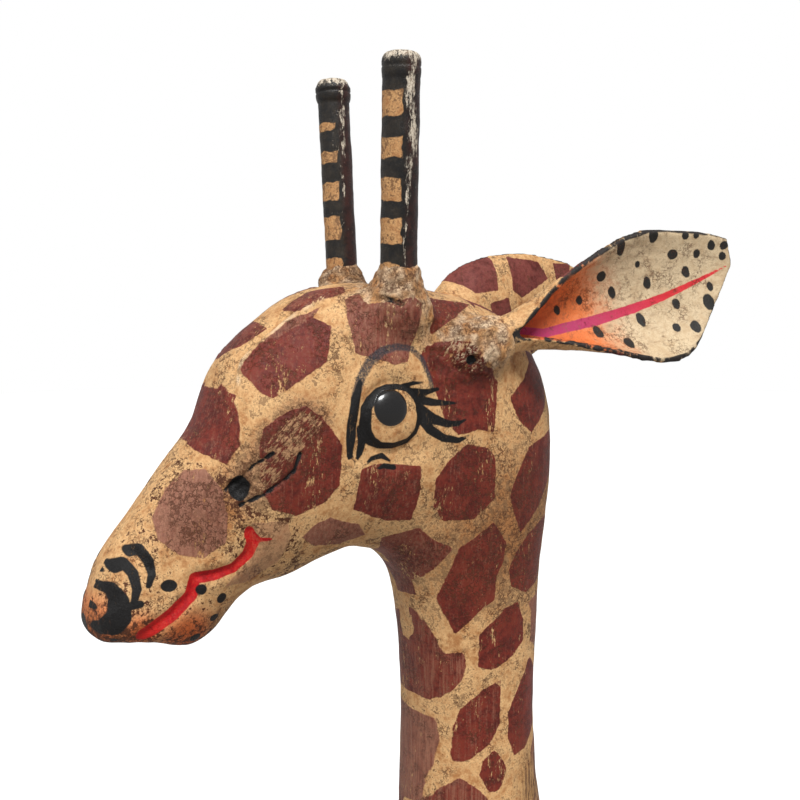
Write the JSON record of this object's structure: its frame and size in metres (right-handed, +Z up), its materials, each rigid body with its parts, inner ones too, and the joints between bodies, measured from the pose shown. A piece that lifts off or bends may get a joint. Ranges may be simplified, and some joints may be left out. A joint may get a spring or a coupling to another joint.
{
  "type": "carved giraffe statue",
  "caption": "Standing giraffe figure carved in wood and painted with a patchwork coat, with rod horns, rolled leaf ears and dowelled legs.",
  "frame": {"origin": "on the floor, under the middle of the statue's bounding box", "axes": "+Z up, the giraffe faces -Y, its left side is +X"},
  "size_m": [0.202, 0.7611, 1.6754],
  "materials": {
    "painted_coat": "hand painted, cream ground with maroon patches, aged and crackled",
    "painted_horn": "black and cream hand painted bands, chipped",
    "painted_ear": "grey cream paint with black dots and a red stripe",
    "gesso_filler": "rough filler painted over",
    "bare_wood": "unfinished"
  },
  "bodies": {
    "root": {"head_and_neck": "painted_coat", "trunk": "painted_coat", "leg_front_left": "painted_coat", "leg_front_right": "painted_coat", "leg_hind_left": "painted_coat", "leg_hind_right": "painted_coat", "tail": "painted_coat", "horn_left": "painted_horn", "horn_right": "painted_horn", "ear_left": "painted_ear", "ear_right": "painted_ear", "horn_filler_left": "gesso_filler", "horn_filler_right": "gesso_filler", "ear_filler_left": "gesso_filler", "ear_filler_right": "gesso_filler", "leg_front_left_peg_front": "bare_wood", "leg_front_left_peg_rear": "bare_wood", "leg_front_right_peg_front": "bare_wood", "leg_front_right_peg_rear": "bare_wood", "leg_hind_left_peg_front": "bare_wood", "leg_hind_left_peg_rear": "bare_wood", "leg_hind_right_peg_front": "bare_wood", "leg_hind_right_peg_rear": "bare_wood", "neck_peg_throat": "bare_wood", "neck_peg_withers": "bare_wood"}
  },
  "joints": []
}
